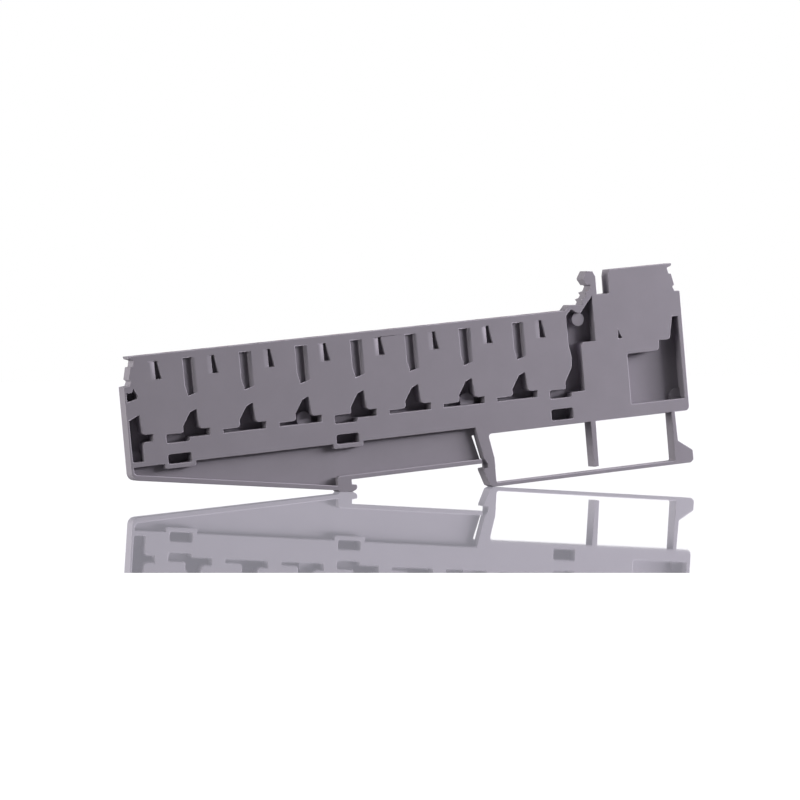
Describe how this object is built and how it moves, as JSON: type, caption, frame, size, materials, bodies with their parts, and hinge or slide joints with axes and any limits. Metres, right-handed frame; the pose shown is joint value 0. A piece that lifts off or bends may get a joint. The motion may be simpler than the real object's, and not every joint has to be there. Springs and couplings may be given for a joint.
{
  "type": "multi-level terminal block",
  "caption": "Slim rail-mounted terminal block of grey plastic with a row of push-in conductor entries, a raised feed block, marker grooves and a springy clip foot.",
  "frame": {"origin": "middle of the rail seat, half way through the block's thickness", "axes": "+X along the block towards the raised feed block, +Z away from the rail, -Y out of the closed side"},
  "size_m": [0.1443, 0.0036, 0.0486],
  "materials": {
    "housing": "satin",
    "busbar": "satin",
    "spring": "satin",
    "button": "satin"
  },
  "bodies": {
    "base": {"housing": "housing", "busbar": "busbar", "clamping_spring_1": "spring", "clamping_spring_2": "spring", "clamping_spring_3": "spring", "clamping_spring_4": "spring", "clamping_spring_5": "spring", "clamping_spring_6": "spring", "clamping_spring_7": "spring", "clamping_spring_8": "spring", "feed_spring": "spring"},
    "release_button_1": {"release_button_1": "button"},
    "release_button_2": {"release_button_2": "button"},
    "release_button_3": {"release_button_3": "button"},
    "release_button_4": {"release_button_4": "button"},
    "release_button_5": {"release_button_5": "button"},
    "release_button_6": {"release_button_6": "button"},
    "release_button_7": {"release_button_7": "button"},
    "release_button_8": {"release_button_8": "button"},
    "feed_button": {"feed_button": "button"}
  },
  "joints": [
    {"name": "release_button_1_press", "type": "slide", "parent": "base", "child": "release_button_1", "axis": [0, 0, 1], "range_m": [-0.0015, 0], "stiffness_N_per_m": 2000, "springref_m": 0.001, "deforming": ["clamping_spring_1"]},
    {"name": "release_button_2_press", "type": "slide", "parent": "base", "child": "release_button_2", "axis": [0, 0, 1], "range_m": [-0.0015, 0], "stiffness_N_per_m": 2000, "springref_m": 0.001, "deforming": ["clamping_spring_2"]},
    {"name": "release_button_3_press", "type": "slide", "parent": "base", "child": "release_button_3", "axis": [0, 0, 1], "range_m": [-0.0015, 0], "stiffness_N_per_m": 2000, "springref_m": 0.001, "deforming": ["clamping_spring_3"]},
    {"name": "release_button_4_press", "type": "slide", "parent": "base", "child": "release_button_4", "axis": [0, 0, 1], "range_m": [-0.0015, 0], "stiffness_N_per_m": 2000, "springref_m": 0.001, "deforming": ["clamping_spring_4"]},
    {"name": "release_button_5_press", "type": "slide", "parent": "base", "child": "release_button_5", "axis": [0, 0, 1], "range_m": [-0.0015, 0], "stiffness_N_per_m": 2000, "springref_m": 0.001, "deforming": ["clamping_spring_5"]},
    {"name": "release_button_6_press", "type": "slide", "parent": "base", "child": "release_button_6", "axis": [0, 0, 1], "range_m": [-0.0015, 0], "stiffness_N_per_m": 2000, "springref_m": 0.001, "deforming": ["clamping_spring_6"]},
    {"name": "release_button_7_press", "type": "slide", "parent": "base", "child": "release_button_7", "axis": [0, 0, 1], "range_m": [-0.0015, 0], "stiffness_N_per_m": 2000, "springref_m": 0.001, "deforming": ["clamping_spring_7"]},
    {"name": "release_button_8_press", "type": "slide", "parent": "base", "child": "release_button_8", "axis": [0, 0, 1], "range_m": [-0.0015, 0], "stiffness_N_per_m": 2000, "springref_m": 0.001, "deforming": ["clamping_spring_8"]},
    {"name": "feed_button_press", "type": "slide", "parent": "base", "child": "feed_button", "axis": [0, 0, 1], "range_m": [-0.0015, 0], "stiffness_N_per_m": 2000, "springref_m": 0.001, "deforming": ["feed_spring"]}
  ]
}
